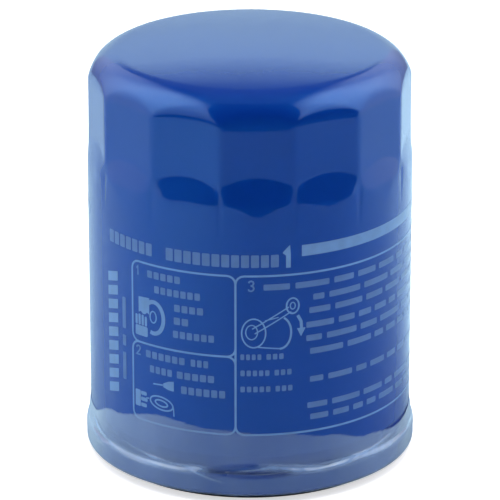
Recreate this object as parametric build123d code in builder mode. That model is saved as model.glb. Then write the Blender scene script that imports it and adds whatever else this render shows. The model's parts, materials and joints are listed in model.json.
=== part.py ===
"""Spin-on engine oil filter in its clear heat-shrink film.

Millimetres, +Z up. The filter stands on its gasket with the dome up, and the origin is the centre of the
gasket's sealing face. One of the flats pressed into the can is centred on -Y, the filter's front.
"""

import os
from math import asin, cos, pi, radians, sin

from build123d import *

os.makedirs("parts", exist_ok=True)

# ---------------------------------------------------------------- driving dimensions

# can
can_radius = 32.5
can_sheet = 0.45
shoulder_start = 76.5
shoulder_radius = 7.5
crown_radius = 250.0
neck_top = 9.8
neck_bottom = 7.2
plain_wall_bottom = 12.0

# wrench flats pressed into the can's upper wall
flat_count = 14
flat_distance = 31.5
flat_bottom = 67.3
flat_ramp_bottom = 58.9
front_angle = -90.0

# rolled seam between the can's edge and the lid's edge
seam_radius = 33.3
seam_bottom = 1.6
seam_top = 6.0
fold_gap = 0.05
lid_sheet = 0.5

# gasket and its channel in the lid
gasket_inner_radius = 26.8
gasket_outer_radius = 30.6
gasket_height = 5.6
gasket_corner = 0.5
channel_ceiling = 6.0
bead_bottom = 2.9
bead_inner_radius = 25.2
lid_inner_radius = 21.8
weld_count = 8
weld_circle_radius = 23.2
weld_dimple_radius = 0.9
weld_dimple_depth = 0.2

# base plate with its M20 x 1.5 collar, bored to the thread's minor diameter
thread_minor_radius = 9.188
thread_major_radius = 10.0
base_plate_radius = 30.9
base_plate_thickness = 3.0
collar_radius = 12.4
collar_top = 16.5
inlet_count = 8
inlet_radius = 2.8
inlet_circle_radius = 17.6

# anti-drain-back valve
hub_radius = 15.6
hub_bottom = 12.6
hub_top = 17.6
lip_inner_radius = 15.8
lip_outer_radius = 24.6
lip_seat_gap = 0.05

# filter element
cap_sheet = 0.4
cap_corner = 0.5
cap_radius = 27.9
cap_rim_height = 4.0
lower_cap_bottom = 17.65
lower_cap_hole_radius = 13.2
upper_cap_top = 70.9
potting_depth = 1.2
tube_radius = 14.85
tube_sheet = 0.35
tube_hole_radius = 1.6
tube_holes_around = 10
tube_hole_rows = 9
pleat_count = 46
pleat_phase = 0.25
pleat_inner_radius = 15.25
pleat_outer_radius = 26.9
pleat_inner_half_width = 0.45
pleat_outer_half_width = 0.7
paper_thickness = 0.6
clip_sheet = 0.25
clip_half_width = 1.3
clip_depth = 4.5

# bypass valve, hung under the upper cap
bypass_port_radius = 6.5
cage_radius = 11.2
cage_sheet = 0.5
cage_flange_radius = 13.9
cage_bottom = 56.0
cage_window_width = 7.0
cage_window_height = 7.0
cage_window_count = 4
poppet_radius = 9.2
poppet_thickness = 0.9
seal_thickness = 1.4
stem_radius = 1.8
stem_clearance = 0.08
stem_overhang = 1.5
bypass_spring_radius = 5.0
bypass_wire_radius = 0.5
bypass_spring_turns = 6

# spring between the element and the dome
element_spring_radius = 10.0
element_wire_radius = 0.9
element_spring_turns = 3.5
contact_gap = 0.05

# heat-shrink film
film_thickness = 0.1
film_gap = 0.05
film_edge_radius = 31.2

# ---------------------------------------------------------------- worked out from them

shoulder_centre_radius = can_radius - shoulder_radius
crown_angle = asin(shoulder_centre_radius / (crown_radius - shoulder_radius))
crown_centre = shoulder_start - (crown_radius - shoulder_radius) * cos(crown_angle)

lid_outer_line = seam_radius - lid_sheet / 2
sheet_step = (lid_sheet + can_sheet) / 2 + fold_gap
can_hook_line = lid_outer_line - sheet_step
lid_hook_line = can_hook_line - sheet_step
can_wall_line = lid_hook_line - sheet_step
chuck_wall_line = can_wall_line - sheet_step
can_body_line = can_radius - can_sheet / 2
can_turn_bottom = seam_bottom + lid_sheet + fold_gap + can_sheet / 2
fold_radius = sheet_step - 0.005

base_plate_bottom = channel_ceiling + lid_sheet / 2
base_plate_top = base_plate_bottom + base_plate_thickness
thread_chamfer = thread_major_radius - thread_minor_radius + 0.2

lower_potting_bottom = lower_cap_bottom + cap_sheet
media_bottom = lower_potting_bottom + potting_depth
upper_cap_bottom = upper_cap_top - cap_sheet
media_top = upper_cap_bottom - potting_depth
tube_inner_radius = tube_radius - tube_sheet

cage_top = upper_cap_bottom
seal_top = upper_cap_bottom - contact_gap
poppet_top = seal_top - seal_thickness
poppet_bottom = poppet_top - poppet_thickness
bypass_spring_bottom = cage_bottom + cage_sheet + contact_gap
bypass_spring_top = poppet_bottom - contact_gap


# ---------------------------------------------------------------- shared shapes


def sheet_section(points, radii, thickness):
    """The section of a folded sheet, drawn by its centre line in the XZ plane."""
    with BuildSketch(Plane.XZ) as section:
        with BuildLine():
            FilletPolyline(*points, radius=radii)
        trace(line_width=thickness)
    return section.sketch


def flat_cutter(offset):
    """What one press stroke takes off the can at +X: a flat that ramps out at its lower end."""
    depth = can_radius - flat_distance
    slope = depth / (flat_bottom - flat_ramp_bottom)
    outside = can_radius + 2.0
    ramp_end = flat_bottom - (outside - flat_distance) / slope
    above = shoulder_start + 2 * shoulder_radius
    with BuildPart() as cutter:
        with BuildSketch(Plane.XZ):
            with BuildLine():
                Polyline(
                    (flat_distance + offset, flat_bottom),
                    (flat_distance + offset, above),
                    (outside + offset, above),
                    (outside + offset, ramp_end),
                    close=True,
                )
            make_face()
        extrude(amount=can_radius / 3, both=True)
    return cutter.part


def can_form(offset, bottom):
    """A solid of the can's outer form, grown by offset and cut off level at bottom."""
    radius = can_radius + offset
    shoulder = shoulder_radius + offset
    crown = crown_radius + offset
    shoulder_end = (
        shoulder_centre_radius + shoulder * sin(crown_angle),
        shoulder_start + shoulder * cos(crown_angle),
    )
    cutter = flat_cutter(offset)
    with BuildPart() as form:
        with BuildSketch(Plane.XZ):
            with BuildLine():
                Polyline((0, crown_centre + crown), (0, bottom), (radius, bottom), (radius, shoulder_start))
                RadiusArc((radius, shoulder_start), shoulder_end, -shoulder)
                RadiusArc(shoulder_end, (0, crown_centre + crown), -crown)
            make_face()
        revolve(axis=Axis.Z)
        with PolarLocations(0, flat_count, start_angle=front_angle):
            add(cutter, mode=Mode.SUBTRACT)
    return form.part


def pleat_outline(grow):
    """One side of the pleated paper: square-topped folds, moved outwards by grow."""
    points = []
    for pleat in range(pleat_count):
        middle = 2 * pi * (pleat + pleat_phase) / pleat_count
        outer = pleat_outer_radius + grow
        inner = pleat_inner_radius + grow
        outer_half = (pleat_outer_half_width + grow) / outer
        inner_half = (pleat_inner_half_width - grow) / inner
        next_fold = middle + pi / pleat_count
        for radius, angle in (
            (outer, middle - outer_half),
            (outer, middle + outer_half),
            (inner, next_fold - inner_half),
            (inner, next_fold + inner_half),
        ):
            points.append((radius * cos(angle), radius * sin(angle)))
    with BuildSketch(Plane.XY.offset(media_bottom)) as outline:
        with BuildLine():
            Polyline(*points, close=True)
        make_face()
    return outline.sketch


def coil(radius, wire_radius, bottom, top, turns):
    """A helical spring that fits between two levels."""
    pitch = (top - bottom - 2 * wire_radius) / turns
    with BuildPart() as spring:
        with BuildLine():
            path = Helix(pitch, pitch * turns, radius, center=(0, 0, bottom + wire_radius))
        with BuildSketch(path ^ 0):
            Circle(wire_radius)
        sweep()
    return spring.part


# ---------------------------------------------------------------- shell, lid and base

can_outside = can_form(0, plain_wall_bottom)
can_inside = can_form(-can_sheet, plain_wall_bottom)
can_foot = sheet_section(
    [
        (can_body_line, plain_wall_bottom),
        (can_body_line, neck_top),
        (can_wall_line, neck_bottom),
        (can_wall_line, can_turn_bottom),
        (can_hook_line, can_turn_bottom),
        (can_hook_line, seam_top - 2 * lid_sheet),
    ],
    [1.5, 1.5, fold_radius, fold_radius],
    can_sheet,
)
with BuildPart() as can:
    add(can_outside)
    add(can_inside, mode=Mode.SUBTRACT)
    revolve(can_foot, axis=Axis.Z)
can.part.label = "can"

lid_profile = sheet_section(
    [
        (lid_hook_line, can_turn_bottom + 1.6 * can_sheet),
        (lid_hook_line, seam_top - lid_sheet / 2),
        (lid_outer_line, seam_top - lid_sheet / 2),
        (lid_outer_line, seam_bottom + lid_sheet / 2),
        (chuck_wall_line, seam_bottom + lid_sheet / 2),
        (chuck_wall_line, channel_ceiling),
        (gasket_inner_radius - 0.1 - lid_sheet / 2, channel_ceiling),
        (gasket_inner_radius - 0.1 - lid_sheet / 2, bead_bottom),
        (bead_inner_radius, bead_bottom),
        (bead_inner_radius, channel_ceiling),
        (lid_inner_radius, channel_ceiling),
    ],
    [fold_radius, fold_radius, 0.8, 0.8, 0.7, 0.7, 0.6, 0.6, 0.7],
    lid_sheet,
)
with BuildPart() as seaming_lid:
    revolve(lid_profile, axis=Axis.Z)
    with BuildSketch(Plane.XY.offset(channel_ceiling - lid_sheet / 2)):
        with PolarLocations(weld_circle_radius, weld_count, start_angle=front_angle + 180 / weld_count):
            Circle(weld_dimple_radius)
    extrude(amount=weld_dimple_depth, mode=Mode.SUBTRACT)
seaming_lid.part.label = "seaming_lid"

with BuildPart() as seam_compound:
    with BuildSketch(Plane.XZ):
        with Locations((lid_hook_line, can_turn_bottom + 1.1 * can_sheet)):
            Circle(0.4 * can_sheet)
    revolve(axis=Axis.Z)
seam_compound.part.label = "seam_compound"

with BuildPart() as gasket:
    with BuildSketch():
        Circle(gasket_outer_radius)
        Circle(gasket_inner_radius, mode=Mode.SUBTRACT)
    extrude(amount=gasket_height)
    fillet(gasket.edges().filter_by(GeomType.CIRCLE), radius=gasket_corner)
gasket.part.label = "gasket"

with BuildPart() as base_plate:
    with BuildSketch(Plane.XY.offset(base_plate_bottom)):
        Circle(base_plate_radius)
    extrude(amount=base_plate_thickness)
    with BuildSketch(Plane.XY.offset(base_plate_bottom)):
        Circle(collar_radius)
    extrude(amount=collar_top - base_plate_bottom)
    collar_root = base_plate.edges().filter_by(GeomType.CIRCLE).group_by(Axis.Z)[1]
    fillet(collar_root.sort_by(SortBy.LENGTH)[0], radius=1.5)
    fillet(base_plate.edges().group_by(Axis.Z)[-1], radius=0.8)
    with BuildSketch(Plane.XY.offset(base_plate_bottom)):
        Circle(thread_minor_radius)
    extrude(amount=collar_top - base_plate_bottom, mode=Mode.SUBTRACT)
    bore_edges = base_plate.edges().filter_by(GeomType.CIRCLE)
    chamfer(bore_edges.filter_by(lambda edge: abs(edge.radius - thread_minor_radius) < 0.01), thread_chamfer)
    with BuildSketch(Plane.XY.offset(base_plate_bottom)):
        with PolarLocations(inlet_circle_radius, inlet_count, start_angle=front_angle):
            Circle(inlet_radius)
    extrude(amount=base_plate_thickness, mode=Mode.SUBTRACT)
base_plate.part.label = "base_plate"

# ---------------------------------------------------------------- anti-drain-back valve

with BuildPart() as drain_valve_hub:
    with BuildSketch(Plane.XY.offset(hub_bottom)):
        Circle(hub_radius)
        Circle(collar_radius + contact_gap, mode=Mode.SUBTRACT)
    extrude(amount=hub_top - hub_bottom)
    fillet(drain_valve_hub.edges().group_by(Axis.Z)[0], radius=0.6)
drain_valve_hub.part.label = "drain_valve_hub"

with BuildPart() as drain_valve_lip:
    with BuildSketch(Plane.XZ):
        with BuildLine():
            Polyline(
                (lip_inner_radius, hub_bottom + 0.6),
                (lip_inner_radius, hub_bottom + 2.0),
                (lip_outer_radius - 1.2, base_plate_top + 1.4),
                (lip_outer_radius, base_plate_top + 0.9),
                (lip_outer_radius, base_plate_top + lip_seat_gap),
                (lip_outer_radius - 1.4, base_plate_top + lip_seat_gap),
                close=True,
            )
        make_face()
    revolve(axis=Axis.Z)
drain_valve_lip.part.label = "drain_valve_lip"

# ---------------------------------------------------------------- filter element

lower_cap_profile = sheet_section(
    [
        (cap_radius - cap_sheet / 2, lower_cap_bottom + cap_rim_height),
        (cap_radius - cap_sheet / 2, lower_cap_bottom + cap_sheet / 2),
        (lower_cap_hole_radius + cap_sheet / 2, lower_cap_bottom + cap_sheet / 2),
        (lower_cap_hole_radius + cap_sheet / 2, lower_cap_bottom + cap_rim_height),
    ],
    cap_corner,
    cap_sheet,
)
with BuildPart() as lower_end_cap:
    revolve(lower_cap_profile, axis=Axis.Z)
lower_end_cap.part.label = "lower_end_cap"

upper_cap_profile = sheet_section(
    [
        (cap_radius - cap_sheet / 2, upper_cap_top - cap_rim_height),
        (cap_radius - cap_sheet / 2, upper_cap_top - cap_sheet / 2),
        (bypass_port_radius, upper_cap_top - cap_sheet / 2),
    ],
    cap_corner,
    cap_sheet,
)
with BuildPart() as upper_end_cap:
    revolve(upper_cap_profile, axis=Axis.Z)
upper_end_cap.part.label = "upper_end_cap"


def potting_ring(bottom):
    """The ring of adhesive that fills one end cap outside the centre tube."""
    with BuildPart() as ring:
        with BuildSketch(Plane.XY.offset(bottom)):
            Circle(cap_radius - cap_sheet - cap_corner)
            Circle(tube_radius + contact_gap, mode=Mode.SUBTRACT)
        extrude(amount=potting_depth)
    return ring.part


lower_potting = potting_ring(lower_potting_bottom)
lower_potting.label = "lower_potting"
upper_potting = potting_ring(media_top)
upper_potting.label = "upper_potting"

with BuildPart() as filter_media:
    with BuildSketch(Plane.XY.offset(media_bottom)):
        add(pleat_outline(paper_thickness / 2))
        add(pleat_outline(-paper_thickness / 2), mode=Mode.SUBTRACT)
    extrude(amount=media_top - media_bottom)
filter_media.part.label = "filter_media"

clip_outer = pleat_outer_radius + paper_thickness / 2 + clip_sheet + 0.01
with BuildPart() as media_clip:
    with BuildSketch(Plane.XY.offset(media_bottom)):
        with Locations((clip_outer - clip_depth / 2, 0)):
            Rectangle(clip_depth, 2 * clip_half_width)
        with Locations((clip_outer - clip_depth / 2 - clip_sheet, 0)):
            Rectangle(clip_depth, 2 * (clip_half_width - clip_sheet), mode=Mode.SUBTRACT)
    extrude(amount=media_top - media_bottom)
first_pleat_angle = 360 * pleat_phase / pleat_count
media_clip.part = media_clip.part.rotate(Axis.Z, first_pleat_angle)
media_clip.part.label = "media_clip"

tube_bottom = lower_potting_bottom + contact_gap
tube_top = upper_cap_bottom - contact_gap
tube_row_step = (media_top - media_bottom) / tube_hole_rows
with BuildPart() as center_tube:
    with BuildSketch(Plane.XY.offset(tube_bottom)):
        Circle(tube_radius)
        Circle(tube_inner_radius, mode=Mode.SUBTRACT)
    extrude(amount=tube_top - tube_bottom)
    for row in range(tube_hole_rows):
        level = media_bottom + (row + 0.5) * tube_row_step
        for hole in range(tube_holes_around // 2):
            angle = radians(360 / tube_holes_around * (hole + 0.5 * (row % 2)))
            across = Plane(origin=(0, 0, level), z_dir=(cos(angle), sin(angle), 0))
            with BuildSketch(across):
                Circle(tube_hole_radius)
            extrude(amount=tube_radius + 1, both=True, mode=Mode.SUBTRACT)
center_tube.part.label = "center_tube"

# ---------------------------------------------------------------- bypass valve and springs

cage_profile = sheet_section(
    [
        (cage_flange_radius, cage_top - cage_sheet / 2),
        (cage_radius - cage_sheet / 2, cage_top - cage_sheet / 2),
        (cage_radius - cage_sheet / 2, cage_bottom + cage_sheet / 2),
        (stem_radius + stem_clearance, cage_bottom + cage_sheet / 2),
    ],
    0.6,
    cage_sheet,
)
with BuildPart() as bypass_cage:
    revolve(cage_profile, axis=Axis.Z)
    window_level = (cage_bottom + poppet_bottom) / 2
    for window in range(cage_window_count // 2):
        angle = radians(45 + 90 * window)
        with BuildSketch(Plane(origin=(0, 0, window_level), z_dir=(cos(angle), sin(angle), 0))):
            RectangleRounded(cage_window_width, cage_window_height, 1.0)
        extrude(amount=cage_radius + 1, both=True, mode=Mode.SUBTRACT)
bypass_cage.part.label = "bypass_cage"

with BuildPart() as bypass_poppet:
    with BuildSketch(Plane.XY.offset(poppet_bottom)):
        Circle(poppet_radius)
    extrude(amount=poppet_thickness)
    with BuildSketch(Plane.XY.offset(cage_bottom - stem_overhang)):
        Circle(stem_radius)
    extrude(amount=poppet_bottom - cage_bottom + stem_overhang)
    chamfer(bypass_poppet.edges().group_by(Axis.Z)[0], length=0.4)
bypass_poppet.part.label = "bypass_poppet"

with BuildPart() as bypass_seal:
    with BuildSketch(Plane.XY.offset(poppet_top)):
        Circle(poppet_radius - 0.4)
    extrude(amount=seal_thickness)
    fillet(bypass_seal.edges().group_by(Axis.Z)[-1], radius=0.4)
bypass_seal.part.label = "bypass_seal"

bypass_spring = coil(
    bypass_spring_radius, bypass_wire_radius, bypass_spring_bottom, bypass_spring_top, bypass_spring_turns
)
bypass_spring.label = "bypass_spring"

spring_outer_radius = element_spring_radius + element_wire_radius
dome_inside = crown_centre + (crown_radius - can_sheet) * cos(asin(spring_outer_radius / crown_radius))
element_spring = coil(
    element_spring_radius,
    element_wire_radius,
    upper_cap_top + contact_gap,
    dome_inside - contact_gap,
    element_spring_turns,
)
element_spring.label = "element_spring"

# ---------------------------------------------------------------- heat-shrink film

film_outside = can_form(film_gap + film_thickness, plain_wall_bottom)
film_inside = can_form(film_gap, plain_wall_bottom)
film_step = film_gap + film_thickness / 2
film_foot = sheet_section(
    [
        (can_radius + film_step, plain_wall_bottom),
        (can_radius + film_step, neck_top),
        (seam_radius + film_step, seam_top - 0.6),
        (seam_radius + film_step, seam_bottom - film_step),
        (film_edge_radius, seam_bottom - film_step),
    ],
    [2.0, 2.0, 1.1],
    film_thickness,
)
with BuildPart() as shrink_film:
    add(film_outside)
    add(film_inside, mode=Mode.SUBTRACT)
    revolve(film_foot, axis=Axis.Z)
shrink_film.part.label = "shrink_film"

# ---------------------------------------------------------------- export

pieces = [
    can.part,
    seaming_lid.part,
    seam_compound.part,
    gasket.part,
    base_plate.part,
    drain_valve_hub.part,
    drain_valve_lip.part,
    lower_end_cap.part,
    upper_end_cap.part,
    lower_potting,
    upper_potting,
    filter_media.part,
    media_clip.part,
    center_tube.part,
    bypass_cage.part,
    bypass_poppet.part,
    bypass_seal.part,
    bypass_spring,
    element_spring,
    shrink_film.part,
]
for piece in pieces:
    export_step(piece, f"parts/{piece.label}.step")
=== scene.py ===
"""Looks of a spin-on oil filter in clear shrink film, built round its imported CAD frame. Metres, +Z up."""

import json
import random
from math import acos, asin, atan2, cos, degrees, exp, hypot, pi, radians, sin, sqrt, tan

import bmesh
import bpy
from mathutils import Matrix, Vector


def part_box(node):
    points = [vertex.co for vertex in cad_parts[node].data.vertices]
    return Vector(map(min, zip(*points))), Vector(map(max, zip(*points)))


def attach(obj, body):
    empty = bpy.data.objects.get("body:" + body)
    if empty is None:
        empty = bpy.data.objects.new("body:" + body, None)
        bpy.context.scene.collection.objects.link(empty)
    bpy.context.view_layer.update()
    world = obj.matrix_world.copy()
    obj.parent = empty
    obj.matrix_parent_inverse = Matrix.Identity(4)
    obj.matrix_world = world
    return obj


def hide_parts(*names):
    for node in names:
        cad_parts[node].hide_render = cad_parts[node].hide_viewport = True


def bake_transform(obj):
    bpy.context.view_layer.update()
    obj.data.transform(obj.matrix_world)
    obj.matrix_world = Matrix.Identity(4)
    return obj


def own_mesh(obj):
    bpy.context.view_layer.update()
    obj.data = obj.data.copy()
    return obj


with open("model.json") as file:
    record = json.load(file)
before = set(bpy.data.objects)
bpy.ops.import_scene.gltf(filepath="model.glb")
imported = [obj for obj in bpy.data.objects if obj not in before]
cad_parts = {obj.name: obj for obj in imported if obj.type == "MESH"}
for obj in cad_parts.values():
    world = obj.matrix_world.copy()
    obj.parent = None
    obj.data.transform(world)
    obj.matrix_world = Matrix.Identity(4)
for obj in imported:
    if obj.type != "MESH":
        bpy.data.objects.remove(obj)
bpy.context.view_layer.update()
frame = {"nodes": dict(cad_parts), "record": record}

MM = 0.001
HOUSING = "housing"

# ------------ sizes, in millimetres

record = frame["record"]
mounts = {mount["name"]: mount for mount in record["mounts"]}


def box_mm(node):
    """The lowest and highest corner of a CAD node's box."""
    low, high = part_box(node)
    return low / MM, high / MM


lid_low, lid_high = box_mm("seaming_lid")
gasket_low, gasket_high = box_mm("gasket")
plate_low, plate_high = box_mm("base_plate")
hub_low, hub_high = box_mm("drain_valve_hub")
lip_low, lip_high = box_mm("drain_valve_lip")

# The drawn can: its wall, shoulder, crown and neck.
CAN_RADIUS = 32.5
CAN_SHEET = 0.45
SHOULDER_START = 76.5
SHOULDER_RADIUS = 7.5
CROWN_RADIUS = 250.0
NECK_TOP = 9.8
NECK_BOTTOM = 7.2
# The wrench flats, and the ramps under them.
FLAT_COUNT = 14
FLAT_DISTANCE = 31.5
FLAT_BOTTOM = 67.3
FLAT_RAMP_BOTTOM = 58.9
# The lid: its seam, the gasket's channel and the bead inside that.
LID_SHEET = 0.5
FOLD_GAP = 0.05
SEAM_RADIUS = lid_high.x
SEAM_BOTTOM = lid_low.z
SEAM_TOP = 6.0
CHANNEL_CEILING = 6.0
BEAD_BOTTOM = 2.9
BEAD_INNER_RADIUS = 25.2
LID_INNER_RADIUS = 21.8
GASKET_INNER_RADIUS = 26.8
# The base plate: its collar, oil inlets and thread.
COLLAR_RADIUS = 12.4
INLET_CIRCLE_RADIUS = 17.6
INLET_RADIUS = 2.8
INLET_COUNT = 8
THREAD_MINOR = mounts["engine_thread"]["dims"]["r_mm"]
THREAD_MAJOR = 10.0
THREAD_PITCH = 1.5
THREAD_CHAMFER = THREAD_MAJOR - THREAD_MINOR + 0.2

# ------------ camera

CAMERA_TURN = radians(2.5)
CAMERA_DISTANCE = 754.0
CAMERA_HEIGHT = 323.5
CAMERA_LENS = 287.0
AIM_HEIGHT = 41.2

camera = bpy.data.objects.new("camera", bpy.data.cameras.new("camera"))
bpy.context.scene.collection.objects.link(camera)
bpy.context.scene.camera = camera
camera.data.lens = CAMERA_LENS
camera.data.sensor_width = 36.0
camera.data.clip_end = 20.0
camera.location = Vector(
    (-CAMERA_DISTANCE * sin(CAMERA_TURN), -CAMERA_DISTANCE * cos(CAMERA_TURN), CAMERA_HEIGHT)
) * MM
line_of_sight = Vector((0, 0, AIM_HEIGHT * MM)) - camera.location
camera.rotation_euler = line_of_sight.to_track_quat("-Z", "Y").to_euler()
bpy.context.scene.view_settings.view_transform = "Standard"


# ------------ shader helpers


def new_material(name):
    """A new material, its node tree and its main shader."""
    material = bpy.data.materials.new(name)
    material.use_nodes = True
    tree = material.node_tree
    return material, tree, tree.nodes["Principled BSDF"]


def fill(tree, node, inputs):
    """Link a node's inputs to sockets, and set plain values on the others."""
    for key, value in inputs.items():
        if isinstance(value, bpy.types.NodeSocket):
            tree.links.new(value, node.inputs[key])
        else:
            node.inputs[key].default_value = value


def add_node(tree, kind, inputs=None, **settings):
    """A new node with its settings and its inputs."""
    made = tree.nodes.new(kind)
    for key, value in settings.items():
        setattr(made, key, value)
    fill(tree, made, inputs or {})
    return made


def math_node(tree, operation, first, second=0.0, third=0.0, clamp=False):
    node = add_node(tree, "ShaderNodeMath", {0: first, 1: second, 2: third}, operation=operation)
    node.use_clamp = clamp
    return node.outputs[0]


def object_point(tree):
    return add_node(tree, "ShaderNodeTexCoord").outputs["Object"]


def noise(tree, scale, detail=3.0, roughness=0.5, stretch=None):
    """Noise in the piece's own space; scale is in turns per metre."""
    point = object_point(tree)
    if stretch:
        point = add_node(tree, "ShaderNodeMapping", {"Vector": point, "Scale": stretch}).outputs[0]
    inputs = {"Vector": point, "Scale": scale, "Detail": detail, "Roughness": roughness}
    return add_node(tree, "ShaderNodeTexNoise", inputs).outputs["Fac"]


def ramp(tree, value, stops):
    """A colour ramp over stops of (place, colour)."""
    node = add_node(tree, "ShaderNodeValToRGB", {"Fac": value})
    elements = node.color_ramp.elements
    while len(elements) < len(stops):
        elements.new(0.5)
    for element, (place, colour) in zip(elements, stops):
        element.position = place
        element.color = (*colour, 1.0)
    return node.outputs["Color"]


def span(tree, value, low, high, low_out, high_out):
    """The value taken from low..high to low_out..high_out, and held at its ends."""
    inputs = {"Value": value, "From Min": low, "From Max": high, "To Min": low_out, "To Max": high_out}
    return add_node(tree, "ShaderNodeMapRange", inputs, clamp=True).outputs["Result"]


def bump(tree, height, strength, distance):
    inputs = {"Height": height, "Strength": strength, "Distance": distance}
    return add_node(tree, "ShaderNodeBump", inputs).outputs["Normal"]


# ------------ stage and light

# The room behind the camera is dark: where it lies, and how bright it is beside the rest of the studio.
DARK_SIDE = (0.0, -0.92, 0.4)
STUDIO_LIGHT, STUDIO_DARK = 1.3, 0.1
# The studio's unlit parts, as reflections see them.
STUDIO_GLOOM = 0.08
# The floor's look in reflections, in metres: darker near a place in front of the object than further off.
FLOOR_DARK_PLACE = (0.07, -0.15, 0.0)
FLOOR_DARK_REACH, FLOOR_PALE_REACH = 0.08, 0.2
FLOOR_DARK, FLOOR_PALE = (0.38, 0.44, 0.53), (0.6, 0.84, 0.99)
# Its brightness round the object, as (turn, level): left at 0, front at 0.25, right at 0.5, back at 0.75.
FLOOR_LEVELS = [
    (0.0, 0.6), (0.25, 0.53), (0.53, 0.53), (0.64, 1.0), (0.7, 1.0), (0.8, 0.74), (0.86, 0.74), (0.92, 0.62)
]


def floor_material():
    """A white floor. Reflections see it grey: darker in front of the object, palest behind its right side."""
    material, tree, shader = new_material("pale_floor")
    place = object_point(tree)
    away = add_node(tree, "ShaderNodeVectorMath", {0: place, 1: FLOOR_DARK_PLACE}, operation="DISTANCE")
    pale = span(tree, away.outputs["Value"], FLOOR_DARK_REACH, FLOOR_PALE_REACH, 0.0, 1.0)
    grey = ramp(tree, pale, [(0.0, FLOOR_DARK), (1.0, FLOOR_PALE)])
    parts = add_node(tree, "ShaderNodeSeparateXYZ", {"Vector": place})
    angle = math_node(tree, "ARCTAN2", parts.outputs["Y"], parts.outputs["X"])
    turn = span(tree, angle, -pi, pi, 0.0, 1.0)
    around = ramp(tree, turn, [(where, (level, level, level)) for where, level in FLOOR_LEVELS])
    dimmed = {"Factor": 1.0, "A": grey, "B": around}
    grey = add_node(tree, "ShaderNodeMix", dimmed, data_type="RGBA", blend_type="MULTIPLY").outputs["Result"]
    path = add_node(tree, "ShaderNodeLightPath").outputs
    seen = {"Factor": path["Is Glossy Ray"], "A": (0.95, 0.95, 0.955, 1), "B": grey}
    fill(tree, shader, {
        "Base Color": add_node(tree, "ShaderNodeMix", seen, data_type="RGBA").outputs["Result"],
        "Roughness": 0.9,
        "Specular IOR Level": 0.0,
        "Emission Color": (1, 1, 1, 1),
        "Emission Strength": math_node(tree, "MULTIPLY", path["Is Camera Ray"], 0.6),
    })
    return material


def make_stage():
    """A pale floor in a pale surround. Reflections see a greyer floor and the dim top of the studio."""
    bpy.ops.mesh.primitive_circle_add(vertices=96, radius=3.0, fill_type="NGON")
    ground = bpy.context.object
    ground.name = "floor"
    ground.data.materials.append(floor_material())

    world = bpy.context.scene.world or bpy.data.worlds.new("world")
    bpy.context.scene.world = world
    world.use_nodes = True
    tree = world.node_tree
    direction = add_node(tree, "ShaderNodeTexCoord").outputs["Generated"]
    front = add_node(tree, "ShaderNodeVectorMath", {0: direction, 1: DARK_SIDE}, operation="DOT_PRODUCT")
    studio = span(tree, front.outputs["Value"], 0.35, 0.8, STUDIO_LIGHT, STUDIO_DARK)
    path = add_node(tree, "ShaderNodeLightPath").outputs
    lit = add_node(tree, "ShaderNodeMix", {"Factor": path["Is Glossy Ray"], "A": studio, "B": STUDIO_GLOOM})
    seen = math_node(tree, "MAXIMUM", lit.outputs["Result"], path["Is Camera Ray"])
    fill(tree, tree.nodes["Background"], {"Strength": seen, "Color": (1, 1, 1, 1)})


def make_card(name, corners, brightness, falls=(), tint=(1, 1, 1)):
    """A studio card that only reflections see.

    Each of falls is (axis, from, to, dim at from, dim at to), and dims the card along that axis.
    """
    bpy.ops.mesh.primitive_plane_add(size=1.0)
    card = bpy.context.object
    card.name = name
    for vertex, corner in zip(card.data.vertices, (corners[0], corners[1], corners[3], corners[2])):
        vertex.co = Vector(corner) * MM
    material, tree, shader = new_material(name)
    tree.nodes.remove(shader)
    strength = brightness
    place = add_node(tree, "ShaderNodeSeparateXYZ", {"Vector": object_point(tree)}) if falls else None
    for axis, low, high, low_dim, high_dim in falls:
        dim = span(tree, place.outputs[axis], low * MM, high * MM, low_dim, high_dim)
        strength = math_node(tree, "MULTIPLY", strength, dim)
    glow = add_node(tree, "ShaderNodeEmission", {"Color": (*tint, 1), "Strength": strength})
    tree.links.new(glow.outputs[0], tree.nodes["Material Output"].inputs["Surface"])
    card.data.materials.append(material)
    card.visible_camera = False
    card.visible_diffuse = False
    card.visible_transmission = False
    card.visible_shadow = False


def upright(x, y, next_x, next_y, low, high):
    """The corners of an upright card over a line on the floor, between two heights in millimetres."""
    return [(x, y, low), (next_x, next_y, low), (next_x, next_y, high), (x, y, high)]


def make_lights():
    """A back wall, two long side walls and a dark front, as reflections see them, and a soft top light."""
    back_falls = [("Z", 280, 450, 0.77, 1.0), ("Z", 450, 620, 1.0, 0.11)]
    make_card("back_wall", upright(-320, 900, 320, 900, 2, 1100), 0.9, back_falls, (0.72, 0.97, 1.0))
    side_falls = [
        ("Z", 60, 330, 0.38, 1.0),
        ("Z", 640, 960, 1.0, 0.04),
        ("Y", -230, -120, 0.6, 1.0),
        ("Y", 150, 380, 1.0, 0.42),
    ]
    for name, x in (("left_wall", -300), ("right_wall", 300)):
        make_card(name, upright(x, 1000, x, -700, 2, 1400), 1.85, side_falls, (0.88, 0.96, 1.02))
    make_card("dark_front", upright(-195, -258, 195, -258, 1, 300), 0.0)
    make_card("dark_top", [(-195, -258, 300), (195, -258, 300), (160, -125, 600), (-160, -125, 600)], 0.0)
    make_card("dark_left", upright(-275, -170, -195, -285, 22, 60), 0.0)
    make_card("dark_right", upright(195, -258, 255, -105, 1, 130), 0.0)

    top_light = bpy.data.lights.new("top_light", "AREA")
    top_light.shape = "DISK"
    top_light.size = 1.2
    top_light.energy = 6.0
    lamp = bpy.data.objects.new("top_light", top_light)
    lamp.location = (0, 0.1, 1.3)
    lamp.visible_glossy = False
    bpy.context.scene.collection.objects.link(lamp)


make_stage()
make_lights()


# ------------ mesh helpers


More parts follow.
